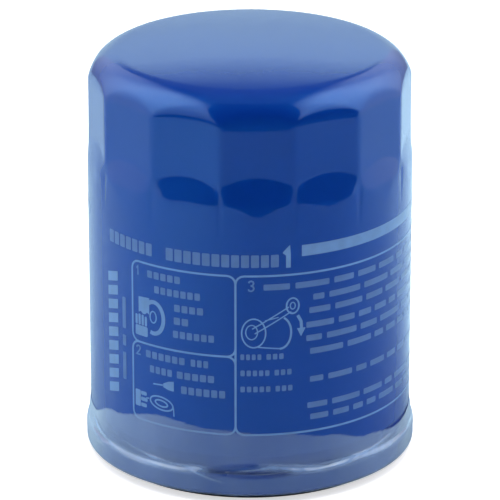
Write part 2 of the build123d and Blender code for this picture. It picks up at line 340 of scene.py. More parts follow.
def mesh_object(name, vertices, faces, smooth=True):
    """A mesh object from points in millimetres."""
    mesh = bpy.data.meshes.new(name)
    mesh.from_pydata([(x * MM, y * MM, z * MM) for x, y, z in vertices], [], faces)
    mesh.validate()
    mesh.update()
    if smooth:
        mesh.polygons.foreach_set("use_smooth", [True] * len(mesh.polygons))
    made = bpy.data.objects.new(name, mesh)
    bpy.context.scene.collection.objects.link(made)
    return made


def outward(made):
    """Turn every face of a closed mesh outwards."""
    work = bmesh.new()
    work.from_mesh(made.data)
    bmesh.ops.recalc_face_normals(work, faces=work.faces)
    work.to_mesh(made.data)
    work.free()
    return made


def crease(made, angle=35):
    """Shade edges sharper than angle as edges."""
    made.data.set_sharp_from_angle(angle=radians(angle))
    return made


def lathe(name, outline, columns, shape=None):
    """Turn a closed outline of (radius, height) round Z.

    shape(k, turn), if given, says where point k of the outline is at that turn.
    """
    vertices, rings = [], []
    for k, (radius, height) in enumerate(outline):
        if radius < 1e-6:
            rings.append([len(vertices)] * columns)
            vertices.append((0, 0, height))
            continue
        rings.append(list(range(len(vertices), len(vertices) + columns)))
        for column in range(columns):
            turn = 2 * pi * column / columns
            far, up = shape(k, turn) if shape else (radius, height)
            vertices.append((far * sin(turn), -far * cos(turn), up))
    faces = []
    for ring, above in zip(rings, rings[1:] + rings[:1]):
        for column in range(columns):
            after = (column + 1) % columns
            corners = list(dict.fromkeys([ring[column], ring[after], above[after], above[column]]))
            if len(corners) > 2:
                faces.append(corners)
    return outward(mesh_object(name, vertices, faces))


def filleted(points, radii, step=12):
    """The path through points with each corner rounded by its radius, sampled every step degrees of turn."""
    path = [Vector(points[0])]
    for before, corner, after, radius in zip(points, points[1:], points[2:], radii):
        before, corner, after = Vector(before), Vector(corner), Vector(after)
        enter, leave = (corner - before).normalized(), (after - corner).normalized()
        turn = acos(max(-1.0, min(1.0, enter.dot(leave))))
        side = 1 if enter.x * leave.y - enter.y * leave.x > 0 else -1
        start = corner - enter * radius * tan(turn / 2)
        centre = start + Vector((-enter.y, enter.x)) * side * radius
        count = max(2, int(degrees(turn) / step) + 1)
        for k in range(count + 1):
            angle = side * turn * k / count
            arm = start - centre
            across = arm.x * cos(angle) - arm.y * sin(angle)
            path.append(centre + Vector((across, arm.x * sin(angle) + arm.y * cos(angle))))
    path.append(Vector(points[-1]))
    return path


def divided(path, longest):
    """The path with extra points, so that no run is longer than longest."""
    points = [path[0]]
    for here, there in zip(path, path[1:]):
        count = max(1, int((there - here).length / longest + 0.999))
        points += [here.lerp(there, (k + 1) / count) for k in range(count)]
    return points


def shifted(path, distance):
    """The path moved sideways, to its left, by distance."""
    moved = []
    for k, point in enumerate(path):
        before, after = path[max(0, k - 1)], path[min(len(path) - 1, k + 1)]
        along = (after - before).normalized()
        moved.append(point + Vector((-along.y, along.x)) * distance)
    return moved


def sheet_outline(path, thickness):
    """The closed outline of folded sheet metal, from its centre line."""
    return shifted(path, thickness / 2) + shifted(path, -thickness / 2)[::-1]


def soft_min(a, b, reach):
    """The smaller of a and b, rounded where they are within reach of each other."""
    near = max(reach - abs(a - b), 0.0) / reach
    return min(a, b) - near * near * reach / 4


def soft_step(value, low, high):
    """0 up to low, 1 from high, and a smooth rise between them."""
    t = max(0.0, min(1.0, (value - low) / (high - low)))
    return t * t * (3 - 2 * t)


# ------------ the can's form

# How far the pressing is rounded: the ridges between flats, the ramps' outline, and the arches' middles.
RIDGE_ROUNDING = 0.45
RAMP_ROUNDING = 0.1
ARCH_ROUNDING = 0.9
# The ramp under a flat: how far its top bows down towards the ridges, its two slopes, and where they meet.
RAMP_BOW = 2.1
STEEP_SLOPE = 0.162
SHALLOW_SLOPE = 0.072
SHALLOW_START = 0.44
# The slope of the ridges between the ramps, and how far above the flats' bottom it begins.
RIDGE_SLOPE = 0.02
RIDGE_RISE = 1.5
crown_angle = asin((CAN_RADIUS - SHOULDER_RADIUS) / (CROWN_RADIUS - SHOULDER_RADIUS))
crown_centre = SHOULDER_START - (CROWN_RADIUS - SHOULDER_RADIUS) * cos(crown_angle)


def flat_plane(angle, height):
    """A flat's distance from the axis: level, then a ramp out to the wall, steep and then shallow.

    Towards the ridges beside the flat the ramp starts lower, and at the ridges it is gentle all the way.
    """
    aside = min(1.0, tan(angle) / tan(pi / FLAT_COUNT))
    below = FLAT_BOTTOM - RAMP_BOW * aside * aside - height
    middle = soft_min(STEEP_SLOPE * below, SHALLOW_START + SHALLOW_SLOPE * below, 0.06)
    ridge = RIDGE_SLOPE * (FLAT_BOTTOM + RIDGE_RISE - height)
    return FLAT_DISTANCE - soft_min(0.0, -(middle + (ridge - middle) * aside ** 6), 0.08)


def pressed(radius, turn, height, offset=0.0):
    """The radius left after the wrench flats are pressed in, for a surface offset from the can's outside."""
    if height < FLAT_RAMP_BOTTOM - 3:
        return radius
    pitch = 2 * pi / FLAT_COUNT
    inside = abs((turn + pitch / 2) % pitch - pitch / 2)
    near = (flat_plane(inside, height) + offset) / cos(inside)
    beside = (flat_plane(pitch - inside, height) + offset) / cos(pitch - inside)
    rise = soft_step(height, FLAT_BOTTOM, SHOULDER_START - 2)
    aside = tan(inside) / tan(pitch / 2)
    flats = soft_min(near, beside, RIDGE_ROUNDING)
    return soft_min(radius, flats, RAMP_ROUNDING + ARCH_ROUNDING * rise * (1 - aside * aside))


def dome_path(grow, shoulder_rows, crown_rows):
    """The shoulder and crown of a surface that stands grow outside the can, from the wall to the axis."""
    shoulder, crown = SHOULDER_RADIUS + grow, CROWN_RADIUS + grow
    centre = CAN_RADIUS - SHOULDER_RADIUS
    points = []
    for k in range(shoulder_rows + 1):
        angle = (pi / 2 - crown_angle) * k / shoulder_rows
        points.append(Vector((centre + shoulder * cos(angle), SHOULDER_START + shoulder * sin(angle))))
    for k in range(1, crown_rows + 1):
        angle = crown_angle * (1 - k / crown_rows)
        points.append(Vector((crown * sin(angle), crown_centre + crown * cos(angle))))
    return points


# ------------ materials

# How strongly the film mirrors where it clings and where it is loose, and how milky it is there.
TIGHT_SHINE = 0.3
LOOSE_SHINE = 2.6
MILKINESS = 0.22


def paint_material():
    """Blue metallic paint under a clear coat, with faint orange peel."""
    material, tree, shader = new_material("blue_gloss_paint")
    fine = noise(tree, 900, 2)
    broad = noise(tree, 60, 3)
    fill(tree, shader, {
        "Base Color": ramp(tree, broad, [(0.3, (0.0016, 0.039, 0.375)), (0.7, (0.0019, 0.043, 0.40))]),
        "Roughness": span(tree, fine, 0.3, 0.7, 0.2, 0.26),
        "Normal": bump(tree, fine, 0.006, 0.00002),
        "Metallic": 0.12,
        "Specular IOR Level": 1.2,
        "Specular Tint": (0.04, 0.6, 1.0, 1),
        "Coat Weight": 0.8,
        "Coat Roughness": 0.03,
    })
    return material


def film_material():
    """Clear gloss film. Where the mesh says that it is loose it mirrors more and looks milky, and where that
    mark is raised for painted highlights on creases and folds it mirrors and whitens further.
    """
    material, tree, shader = new_material("clear_shrink_film")
    tree.nodes.remove(shader)
    # The loose mark also carries the painted crease and fold highlights, which raise the mirror and the milk.
    loose = add_node(tree, "ShaderNodeAttribute", attribute_name="loose").outputs["Fac"]
    fresnel = add_node(tree, "ShaderNodeFresnel", {"IOR": 1.45}).outputs[0]
    back = add_node(tree, "ShaderNodeNewGeometry").outputs["Backfacing"]
    front = math_node(tree, "SUBTRACT", 1.0, back)
    layers = math_node(tree, "MULTIPLY_ADD", loose, LOOSE_SHINE - TIGHT_SHINE, TIGHT_SHINE)
    mirror = math_node(tree, "MULTIPLY", math_node(tree, "MULTIPLY", fresnel, front), layers, clamp=True)
    streaks = span(tree, noise(tree, 260, 4, 0.6, stretch=(1.0, 1.0, 0.3)), 0.3, 0.7, 0.75, 1.25)
    haze = math_node(tree, "MULTIPLY", math_node(tree, "MULTIPLY", loose, MILKINESS / 2), streaks)
    clear = add_node(tree, "ShaderNodeBsdfTransparent", {"Color": (1, 1, 1, 1)})
    gloss = add_node(tree, "ShaderNodeBsdfGlossy", {"Color": (1, 1, 1, 1), "Roughness": 0.03})
    # The milk is tinted blue: partly the paint seen through the haze, partly painted light that brightens the
    # paint shaded under the loose film.
    milk_and_painted_fill = add_node(tree, "ShaderNodeBsdfDiffuse", {"Color": (0.36, 0.57, 1.0, 1)})
    shine = add_node(tree, "ShaderNodeMixShader", {0: mirror, 1: clear.outputs[0], 2: gloss.outputs[0]})
    film = add_node(tree, "ShaderNodeMixShader", {0: haze, 1: shine.outputs[0], 2: milk_and_painted_fill.outputs[0]})
    tree.links.new(film.outputs[0], tree.nodes["Material Output"].inputs["Surface"])
    return material


def ink_material(name, colour):
    """Printed ink, a little uneven."""
    material, tree, shader = new_material(name)
    patch = noise(tree, 400, 3)
    dim = tuple(0.88 * value for value in colour)
    fill(tree, shader, {
        "Base Color": ramp(tree, patch, [(0.35, dim), (0.65, colour)]),
        "Roughness": span(tree, patch, 0.3, 0.7, 0.3, 0.42),
        "Coat Weight": 0.6,
        "Coat Roughness": 0.05,
    })
    return material


def steel_material(name, colour, roughness, grain, stretch, rust=0.0):
    """Bare or plated steel with drawing marks along one direction, faint staining and perhaps rust spots."""
    material, tree, shader = new_material(name)
    marks = noise(tree, grain, 4, 0.6, stretch=stretch)
    stain = noise(tree, 90, 5, 0.6)
    dark = tuple(0.72 * value for value in colour)
    base = ramp(tree, stain, [(0.3, dark), (0.62, colour)])
    if rust:
        spots = span(tree, noise(tree, 420, 5, 0.7), 0.62, 0.72, 0.0, rust)
        rusty = {"Factor": spots, "A": base, "B": (0.12, 0.055, 0.025, 1)}
        base = add_node(tree, "ShaderNodeMix", rusty, data_type="RGBA").outputs["Result"]
    fill(tree, shader, {
        "Base Color": base,
        "Metallic": 1.0,
        "Roughness": span(tree, marks, 0.3, 0.7, roughness - 0.08, roughness + 0.1),
        "Normal": bump(tree, marks, 0.25, 0.00003),
    })
    return material


def rubber_material(name, colour, roughness):
    """Moulded rubber with a fine matte skin and a little bloom."""
    material, tree, shader = new_material(name)
    skin = noise(tree, 1800, 3)
    bloom = noise(tree, 120, 4)
    pale = tuple(min(1.0, 2.1 * value + 0.006) for value in colour)
    fill(tree, shader, {
        "Base Color": ramp(tree, bloom, [(0.4, colour), (0.75, pale)]),
        "Roughness": span(tree, bloom, 0.3, 0.7, roughness, roughness + 0.12),
        "Normal": bump(tree, skin, 0.3, 0.00003),
    })
    return material


def paper_material():
    """Resin-treated filter paper, cloudy and fibrous."""
    material, tree, shader = new_material("filter_paper")
    fibres = noise(tree, 700, 6, 0.7, stretch=(1, 1, 0.3))
    cloud = noise(tree, 130, 3)
    fill(tree, shader, {
        "Base Color": ramp(tree, cloud, [(0.3, (0.62, 0.46, 0.22)), (0.7, (0.72, 0.56, 0.3))]),
        "Roughness": 0.9,
        "Normal": bump(tree, fibres, 0.5, 0.0001),
    })
    return material


def potting_material():
    """Cured plastisol with small pits."""
    material, tree, shader = new_material("potting_resin")
    pits = noise(tree, 500, 4)
    fill(tree, shader, {
        "Base Color": ramp(tree, pits, [(0.3, (0.3, 0.05, 0.04)), (0.7, (0.42, 0.08, 0.06))]),
        "Roughness": span(tree, pits, 0.3, 0.7, 0.35, 0.55),
        "Normal": bump(tree, pits, 0.3, 0.0001),
    })
    return material


paint = paint_material()
film_look = film_material()
light_ink = ink_material("light_blue_ink", (0.13, 0.31, 0.68))
soft_ink = ink_material("soft_blue_ink", (0.07, 0.19, 0.52))
tinplate = steel_material("tinplate", (0.6, 0.58, 0.53), 0.3, 300, (1, 1, 6))
plate_steel = steel_material("pressed_plate_steel", (0.34, 0.33, 0.32), 0.42, 500, (1, 1, 1), rust=0.25)
wire_steel = steel_material("spring_wire", (0.3, 0.3, 0.32), 0.32, 900, (1, 1, 1))
black_rubber = rubber_material("nitrile_gasket", (0.012, 0.012, 0.013), 0.42)
valve_rubber = rubber_material("nitrile_valve", (0.03, 0.03, 0.034), 0.5)
compound = rubber_material("seam_compound_rubber", (0.12, 0.12, 0.1), 0.6)
paper = paper_material()
potting = potting_material()

# The CAD nodes that are seen as they are.
NODE_LOOKS = {
    "seam_compound": compound,
    "lower_end_cap": tinplate,
    "upper_end_cap": tinplate,
    "lower_potting": potting,
    "upper_potting": potting,
    "filter_media": paper,
    "media_clip": tinplate,
    "center_tube": tinplate,
    "bypass_cage": tinplate,
    "bypass_poppet": plate_steel,
    "bypass_seal": black_rubber,
    "element_spring": wire_steel,
}
for node, look in NODE_LOOKS.items():
    slots = frame["nodes"][node].data.materials
    slots.clear()
    slots.append(look)


def finish_piece(made, look, body, slot, *nodes):
    """Give a piece its material and its body, and hide the CAD nodes that it stands for. The slot is not
    used.
    """
    made.data.materials.clear()
    made.data.materials.append(look)
    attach(made, body)
    if nodes:
        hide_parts(*nodes)
    return made


# ------------ can

# The centre lines of the seam's five layers, as radii from the outside in, and the can's turn at its foot.
sheet_step = (LID_SHEET + CAN_SHEET) / 2 + FOLD_GAP
lid_outer_line = SEAM_RADIUS - LID_SHEET / 2
can_hook_line = lid_outer_line - sheet_step
lid_hook_line = can_hook_line - sheet_step
can_wall_line = lid_hook_line - sheet_step
chuck_wall_line = can_wall_line - sheet_step
can_turn_bottom = SEAM_BOTTOM + LID_SHEET + FOLD_GAP + CAN_SHEET / 2
fold_radius = sheet_step - 0.005


def make_can():
    """The drawn steel cup, from its hook in the seam to the crown, with its wrench flats."""
    middle = CAN_RADIUS - CAN_SHEET / 2
    flats_start = FLAT_RAMP_BOTTOM - 4
    foot = filleted([
        (can_hook_line, SEAM_TOP - 2 * LID_SHEET),
        (can_hook_line, can_turn_bottom),
        (can_wall_line, can_turn_bottom),
        (can_wall_line, NECK_BOTTOM),
        (middle, NECK_TOP),
        (middle, flats_start),
    ], [fold_radius, fold_radius, 1.5, 1.5])

    def side(wall_rows, shoulder_rows, crown_rows):
        wall_height = SHOULDER_START - flats_start
        wall = [Vector((middle, flats_start + wall_height * k / wall_rows)) for k in range(1, wall_rows)]
        return divided(foot, 6.0) + wall + dome_path(-CAN_SHEET / 2, shoulder_rows, crown_rows)

    outside = shifted(side(72, 30, 12), -CAN_SHEET / 2)
    inside = shifted(side(18, 12, 6), CAN_SHEET / 2)
    outside[-1].x = inside[-1].x = 0.0
    outline = outside + inside[::-1]

    def shape(k, turn):
        offset = 0.0 if k < len(outside) else -CAN_SHEET
        radius, height = outline[k]
        return pressed(radius, turn, height, offset), height

    return lathe("can_shell", outline, FLAT_COUNT * 32, shape)


can_shell = make_can()
finish_piece(can_shell, paint, HOUSING, "can_paint", "can")

# ------------ seamed lid, gasket and base plate


def make_lid():
    """The thin lid: its seam folds, the gasket's channel, the bead inside it and the welded inner ring."""
    bead_outer_line = BEAD_INNER_RADIUS + 1.25
    path = filleted([
        (lid_hook_line, can_turn_bottom + 0.52),
        (lid_hook_line, SEAM_TOP - LID_SHEET / 2),
        (lid_outer_line, SEAM_TOP - LID_SHEET / 2),
        (lid_outer_line, SEAM_BOTTOM + LID_SHEET / 2),
        (chuck_wall_line, SEAM_BOTTOM + LID_SHEET / 2),
        (chuck_wall_line, CHANNEL_CEILING),
        (bead_outer_line, CHANNEL_CEILING),
        (bead_outer_line, BEAD_BOTTOM),
        (BEAD_INNER_RADIUS, BEAD_BOTTOM),
        (BEAD_INNER_RADIUS, CHANNEL_CEILING),
        (LID_INNER_RADIUS, CHANNEL_CEILING),
    ], [fold_radius, fold_radius, 0.8, 0.8, 0.7, 0.7, 0.6, 0.6, 0.7])
    outline = sheet_outline(divided(path, 0.35), LID_SHEET)
    weld_count, weld_circle, weld_radius, weld_depth = 8, 23.2, 0.9, 0.2

    def shape(k, turn):
        radius, height = outline[k]
        if height > CHANNEL_CEILING or abs(radius - weld_circle) > 2 * weld_radius:
            return radius, height
        pitch = 2 * pi / weld_count
        inside = turn % pitch - pitch / 2
        away = hypot(radius * cos(inside) - weld_circle, radius * sin(inside))
        return radius, height + weld_depth * (1 - soft_step(away, 0.6 * weld_radius, weld_radius))

    return crease(lathe("lid_ring", outline, 336, shape), 50)


def make_gasket():
    """The moulded sealing ring: a square section with rounded corners and a faint parting line."""
    low, high = gasket_low.z, gasket_high.z
    inner, outer = GASKET_INNER_RADIUS, gasket_high.x
    middle = (low + high) / 2
    path = filleted([
        (inner, middle),
        (inner, low),
        (outer, low),
        (outer, middle - 0.12),
        (outer + 0.07, middle),
        (outer, middle + 0.12),
        (outer, high),
        (inner, high),
        (inner, middle),
    ], [0.5, 0.5, 0.03, 0.03, 0.03, 0.5, 0.5])
    return lathe("gasket_ring", path[:-1], 288)


def thread_radius(height, turn):
    """The bore's radius with the thread's groove cut in it and a chamfer at each end."""
    along = ((height / THREAD_PITCH - turn / (2 * pi)) % 1.0 - 0.5) * THREAD_PITCH
    depth = THREAD_MAJOR - THREAD_MINOR
    # A groove with 60 degree flanks, three quarters of the pitch wide at the bore.
    groove = min(depth, max(0.0, (3 * THREAD_PITCH / 8 - abs(along)) * tan(radians(60))))
    ends = max(plate_low.z + THREAD_CHAMFER - height, height - plate_high.z + THREAD_CHAMFER, 0.0)
    return THREAD_MINOR + max(groove, min(ends, THREAD_CHAMFER))


def make_base_plate():
    """The thick pressed plate with its threaded collar and the eight inlet holes."""
    low, top, face = plate_low.z, plate_high.z, plate_low.z + 3.0
    bore_radius = THREAD_MINOR + THREAD_CHAMFER
    outside = filleted([
        (bore_radius, low),
        (plate_high.x, low),
        (plate_high.x, face),
        (COLLAR_RADIUS, face),
        (COLLAR_RADIUS, top),
        (bore_radius, top),
    ], [0.4, 0.5, 1.5, 0.8])
    rows = 84
    bore = [Vector((THREAD_MINOR, top + (low - top) * k / rows)) for k in range(1, rows)]
    outline = divided(outside, 4.0) + bore

    def shape(k, turn):
        radius, height = outline[k]
        if k < len(outline) - len(bore):
            return radius, height
        return thread_radius(height, turn), height

    plate = lathe("threaded_base_plate", outline, 240, shape)
    flare = 0.35
    ends = [(INLET_RADIUS + flare, low - 1), (INLET_RADIUS + flare, low), (INLET_RADIUS, low + flare)]
    ends += [(INLET_RADIUS, face - flare), (INLET_RADIUS + flare, face), (INLET_RADIUS + flare, face + 1)]
    cutters = []
    for k in range(INLET_COUNT):
        cutter = lathe("cutter", [(0, low - 1)] + ends + [(0, face + 1)], 40)
        turn = 2 * pi * k / INLET_COUNT
        cutter.location = Vector((sin(turn), -cos(turn), 0)) * INLET_CIRCLE_RADIUS * MM
        cutters.append(cutter)
    cut(plate, cutters)
    return crease(plate, 30)


def cut(made, cutters):
    """Take the cutters out of a piece and delete them."""
    for cutter in cutters:
        modifier = made.modifiers.new("cut", "BOOLEAN")
        modifier.operation = "DIFFERENCE"
        modifier.solver = "EXACT"
        modifier.object = cutter
    bpy.context.view_layer.update()
    seen = made.evaluated_get(bpy.context.evaluated_depsgraph_get())
    mesh = bpy.data.meshes.new_from_object(seen)
    made.modifiers.clear()
    made.data = mesh
    for cutter in cutters:
        bpy.data.objects.remove(cutter)
    mesh.polygons.foreach_set("use_smooth", [True] * len(mesh.polygons))


def make_drain_valve():
    """The moulded rubber valve: a hub that grips the collar and a skirt whose lip lies on the plate."""
    hub_inner, hub_outer = 12.45, 15.6
    lip_outer, lip_under = lip_high.x, lip_low.z
    path = filleted([
        (hub_inner, 15.0),
        (hub_inner, hub_low.z),
        (hub_outer - 0.3, hub_low.z),
        (15.9, 13.15),
        (lip_outer - 1.4, lip_under),
        (lip_outer, lip_under),
        (lip_outer, lip_under + 0.85),
        (lip_outer - 1.2, lip_under + 1.35),
        (15.8, 14.6),
        (hub_outer, 15.2),
        (hub_outer, hub_high.z),
        (hub_inner, hub_high.z),
        (hub_inner, 15.0),
    ], [0.5, 0.25, 0.3, 0.3, 0.25, 0.25, 0.4, 0.5, 0.3, 0.4, 0.4])
    return lathe("drain_valve", divided(path[:-1], 0.8), 216)


lid_ring = finish_piece(make_lid(), tinplate, HOUSING, "plated_sheet", "seaming_lid")
lid_ring.data.materials.append(paint)
for face in lid_ring.data.polygons:
    if hypot(face.center.x, face.center.y) > (chuck_wall_line + 0.3) * MM:
        face.material_index = 1
finish_piece(make_gasket(), black_rubber, HOUSING, "gasket_rubber", "gasket")
finish_piece(make_base_plate(), plate_steel, HOUSING, "plate_steel", "base_plate")
drain_valve = make_drain_valve()
drain_valve.data.materials.append(valve_rubber)
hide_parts("drain_valve_hub", "drain_valve_lip")
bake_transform(drain_valve)


def make_relief_coil():
    """The relief valve's spring, wound with a closed coil at each end."""
    low, high = box_mm("bypass_spring")
    wire, turns, steps, sides = 0.5, 6, 48, 14
    radius = high.x - wire
    closed = 2.06 * wire
    pitch = (high.z - low.z - 2 * wire - 2 * closed) / (turns - 2)
    vertices, faces = [], []
    for k in range(turns * steps + 1):
        turn = k / steps
        at_ends = min(turn, 1.0) + max(0.0, turn - turns + 1)
        height = low.z + wire + closed * at_ends + pitch * (turn - at_ends)
        away = Vector((cos(2 * pi * turn), sin(2 * pi * turn), 0.0))
        rise = pitch if 1 < turn < turns - 1 else closed
        along = Vector((-away.y, away.x, rise / (2 * pi * radius))).normalized()
        over = away.cross(along)
        centre = away * radius + Vector((0, 0, height))
        for side in range(sides):
            angle = 2 * pi * side / sides
            vertices.append(centre + (away * cos(angle) + over * sin(angle)) * wire)
        if k:
            ring = (k - 1) * sides
            for side in range(sides):
                after = (side + 1) % sides
                faces.append((ring + side, ring + after, ring + sides + after, ring + sides + side))
    faces.append(tuple(range(sides)))
    faces.append(tuple(range(len(vertices) - sides, len(vertices))))
    return crease(outward(mesh_object("relief_coil", vertices, faces)), 60)


relief_coil = finish_piece(make_relief_coil(), wire_steel, HOUSING, "spring_steel", "bypass_spring")
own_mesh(relief_coil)

# ------------ print

# The ink's height over the wall, how much higher each overlapping layer is, and its thickness.
INK_LIFT = 0.012
INK_LAYER = 0.008
INK_DEPTH = 0.02
LETTER_GAP = 0.35


class Print:
    """Ink shapes drawn in millimetres round the can's wall: across from its front, and up."""

    def __init__(self):
        self.vertices, self.faces = [], []

    def strip(self, lower, upper, layer=0, closed=False):
        """A thin closed slab of ink between two edges with the same number of points."""
        inside = CAN_RADIUS + INK_LIFT + layer * INK_LAYER
        first = len(self.vertices)
        for (low_across, low_up), (high_across, high_up) in zip(lower, upper):
            for radius in (inside, inside + INK_DEPTH):
                for across, up in ((low_across, low_up), (high_across, high_up)):
                    turn = across / CAN_RADIUS
                    self.vertices.append((radius * sin(turn), -radius * cos(turn), up))
        count = len(lower)
        pairs = [(k, (k + 1) % count) for k in range(count if closed else count - 1)]
        for here, there in pairs:
            a, b = first + 4 * here, first + 4 * there
            self.faces += [
                (a, b, b + 1, a + 1),
                (a + 2, a + 3, b + 3, b + 2),
                (a, a + 2, b + 2, b),
                (a + 1, b + 1, b + 3, a + 3),
            ]
        if not closed:
            last = first + 4 * (count - 1)
            self.faces += [(first, first + 1, first + 3, first + 2)]
            self.faces += [(last, last + 2, last + 3, last + 1)]

    def line(self, points, width, layer=0, closed=False):
        """A pen line of even width."""
        path = [Vector(point) for point in points]
        if not closed:
            path = divided(path, 1.0)
        left, right = [], []
        for k, point in enumerate(path):
            before = path[k - 1] if k or closed else point
            after = path[(k + 1) % len(path)] if k + 1 < len(path) or closed else point
            into, out = (point - before), (after - point)
            into = into.normalized() if into.length > 1e-9 else out.normalized()
            out = out.normalized() if out.length > 1e-9 else into
            along = (into + out).normalized()
            side = Vector((-along.y, along.x)) * width / 2 / max(0.5, along.dot(into))
            left.append(point + side)
            right.append(point - side)
        self.strip(right, left, layer, closed)

    def bar(self, left, right, low, high, rounding=0.0):
        """A filled bar with rounded ends."""
        count = max(2, int((right - left) / 0.8) + 1)
        places = [left + (right - left) * k / count for k in range(count + 1)]
        if rounding:
            ends = [rounding * (1 - cos(radians(angle))) for angle in (0, 30, 60)]
            places = [left + end for end in ends]
            places += [left + rounding + (right - left - 2 * rounding) * k / count for k in range(count + 1)]
            places += [right - end for end in ends[::-1]]
        inset = []
        for place in places:
            past = max(left + rounding - place, place - right + rounding, 0.0)
            inset.append(rounding - sqrt(max(0.0, rounding**2 - past**2)) if rounding else 0.0)
        self.strip(
            [(place, low + cut_in) for place, cut_in in zip(places, inset)],
            [(place, high - cut_in) for place, cut_in in zip(places, inset)],
        )

    def oval(self, across, up, wide, high, width, start=0, end=360, lean=0.0):
        """An oval pen line, or part of one, with its half-width and half-height, leaning by lean degrees."""
        whole = end - start >= 360
        count = max(8, int((end - start) / 12))
        points = []
        for k in range(count if whole else count + 1):
            angle = radians(start + (end - start) * k / count)
            x, y = wide * cos(angle), high * sin(angle)
            tilt = radians(lean)
            points.append((across + x * cos(tilt) - y * sin(tilt), up + x * sin(tilt) + y * cos(tilt)))
        self.line(points, width, closed=whole)

    def frame(self, left, right, low, high, corner, width, layer):
        """A rounded frame."""
        points = []
        for across, up, quarter in (
            (right - corner, high - corner, 0),
            (left + corner, high - corner, 90),
            (left + corner, low + corner, 180),
            (right - corner, low + corner, 270),
        ):
            for k in range(5):
                angle = radians(quarter + 22.5 * k)
                points.append(Vector((across + corner * cos(angle), up + corner * sin(angle))))
        self.line(divided(points + points[:1], 1.5)[:-1], width, layer, closed=True)

    def words(self, spans, low, high, letter=0.0):
        """A line of greeked words: a bar for each word, or a block for each letter."""
        for left, right in spans:
            if not letter:
                self.bar(left, right, low, high, 0.22)
                continue
            count = max(1, round((right - left + LETTER_GAP) / letter))
            pitch = (right - left + LETTER_GAP) / count
            for k in range(count):
                start = left + k * pitch
                self.bar(start, start + pitch - LETTER_GAP, low, high, 0.2)

    def numeral(self, digit, left, low, high, width):
        """A plain step number in pen lines of one width."""
        tall = high - low
        for stroke in NUMERALS[digit]:
            self.line([(left + x * tall, low + y * tall) for x, y in stroke], width)

    def make(self, name, look):
        """The ink drawn so far, as a piece."""
        made = mesh_object(name, self.vertices, self.faces, smooth=False)
        return finish_piece(outward(made), look, HOUSING, "can_paint")


# The numerals' pen strokes, as parts of their height.
NUMERALS = {
    1: [[(0.05, 0.74), (0.26, 1.0), (0.26, 0.0)]],
    2: [
        [
            (0.02, 0.76), (0.1, 0.93), (0.28, 1.0), (0.47, 0.93), (0.54, 0.74), (0.42, 0.5),
            (0.02, 0.03), (0.58, 0.03),
        ],
    ],
    3: [
        [(0.04, 0.82), (0.14, 0.95), (0.3, 1.0), (0.46, 0.93), (0.52, 0.76), (0.42, 0.58), (0.24, 0.53)],
        [(0.24, 0.53), (0.44, 0.48), (0.55, 0.28), (0.46, 0.08), (0.28, 0.0), (0.1, 0.05), (0.02, 0.2)],
    ],
}
# Where the print's parts lie: across and up.
TITLE_LOW, TITLE_HIGH = 49.4, 52.5
PANEL_LEFT, PANEL_SPLIT, PANEL_RIGHT = -27.1, -4.25, 84.0
PANEL_LOW, PANEL_MIDDLE, PANEL_HIGH = 14.5, 31.0, 47.9
PANEL_CORNER = 1.7
LINE_WIDTH = 0.42


def title_print():
    """The title line, greeked, with its number, and the bar that runs on round the can."""
    title = Print()
    title.words([(-34.4, -21.9), (-18.6, 4.2)], TITLE_LOW + 0.25, TITLE_HIGH - 0.25, letter=1.93)
    title.make("print_title", soft_ink)
    band = Print()
    band.numeral(1, 5.1, TITLE_LOW, TITLE_HIGH + 0.7, 0.95)
    band.bar(8.8, 158.0, 51.5, 53.8)
    band.make("print_band", light_ink)


def panel_print():
    """Three rounded panels that share their edges."""
    panels = Print()
    panels.frame(PANEL_LEFT, PANEL_SPLIT, PANEL_MIDDLE, PANEL_HIGH, PANEL_CORNER, LINE_WIDTH, 0)
    panels.frame(PANEL_LEFT, PANEL_SPLIT, PANEL_LOW, PANEL_MIDDLE, PANEL_CORNER, LINE_WIDTH, 1)
    panels.frame(PANEL_SPLIT, PANEL_RIGHT, PANEL_LOW, PANEL_HIGH, PANEL_CORNER, LINE_WIDTH, 2)
    panels.make("print_panels", light_ink)


def text_print():
    """The steps' words, greeked, and their plain numbers."""
    text = Print()
    text.numeral(1, -26.0, 45.0, 46.9, 0.32)
    text.numeral(2, -26.1, 28.2, 30.1, 0.32)
    text.numeral(3, -1.8, 44.8, 46.9, 0.34)
    for spans, low, high in (
        ([(-23.1, -15.5)], 45.1, 46.6),
        ([(-21.4, -11.3)], 42.2, 43.7),
        ([(-16.8, -10.7)], 39.2, 40.7),
        ([(-16.9, -13.8)], 36.5, 38.0),
        ([(-17.1, -8.5)], 33.7, 35.2),
        ([(-23.6, -14.6), (-13.3, -9.7)], 28.2, 29.7),
        ([(-22.6, -17.4), (-16.3, -8.5)], 25.2, 26.7),
        ([(-15.4, -6.3)], 22.1, 23.7),
    ):
        text.words(spans, low, high, letter=1.5)
    text.make("print_steps", soft_ink)

    notes = Print()
    for up, right in ((30.4, 5.2), (27.0, 6.8), (23.6, 7.0)):
        notes.words([(-3.3, right - 4.4), (right - 3.4, right)], up, up + 1.2, letter=1.2)
    rng = random.Random(11)
    for up, left in ((44.9, 1.2), (42.1, 11.2), (39.4, 10.4), (36.4, 9.8), (33.6, 9.8), (30.8, 10.6)):
        notes.words(random_words(rng, left, rng.uniform(66, 78)), up, up + 1.25)
    for up, left in ((24.9, 10.6), (19.4, 10.1), (16.9, 10.7)):
        notes.words(random_words(rng, left, rng.uniform(44, 76)), up, up + 1.2)
    notes.make("print_notes", soft_ink)


def random_words(rng, left, right):
    """Spans of greeked words from left to right."""
    spans = []
    while left < right:
        length = rng.uniform(2.2, 7.6)
        spans.append((left, left + length))
        left += length + 1.1
    return spans


